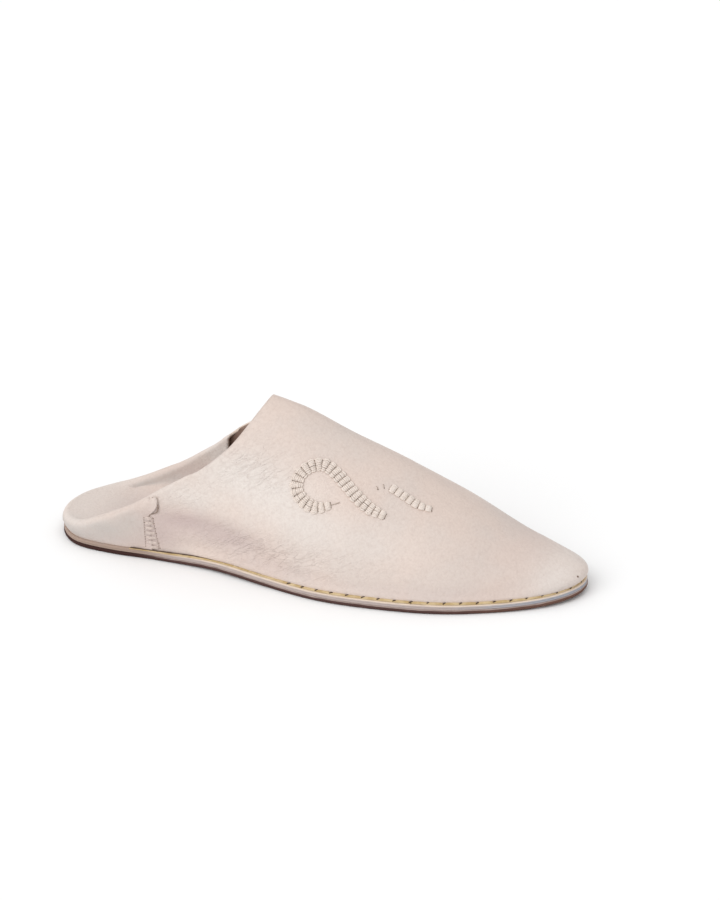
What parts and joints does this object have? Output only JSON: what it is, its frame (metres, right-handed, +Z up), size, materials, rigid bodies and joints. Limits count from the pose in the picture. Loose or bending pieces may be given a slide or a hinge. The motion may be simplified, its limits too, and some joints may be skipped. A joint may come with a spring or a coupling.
{
  "type": "babouche slipper",
  "caption": "Flat leather babouche mule with a pointed toe, a folded-down heel, a welted leather sole and an open collar.",
  "frame": {"origin": "under the middle of the slipper's box, on the floor it stands on", "axes": "+X to the toe, +Y to the inner (medial) side of this right shoe, +Z up"},
  "size_m": [0.2708, 0.0924, 0.0805],
  "materials": {
    "upper_leather": "soft grained leather, pale blush cream, slight sheen",
    "heel_leather": "soft grained leather, pale cream, slight sheen",
    "welt_leather": "yellow tan rand with dark stitch marks",
    "midsole_edge": "pale grey cut leather edge with a cream ledge",
    "sole_leather": "dark brown sole leather, burnished edge",
    "sock_leather": "plain smooth sock leather"
  },
  "bodies": {
    "root": {"outsole": "sole_leather", "midsole": "midsole_edge", "welt": "welt_leather", "insole": "sock_leather", "upper": "upper_leather", "heel_counter": "heel_leather"}
  },
  "joints": []
}
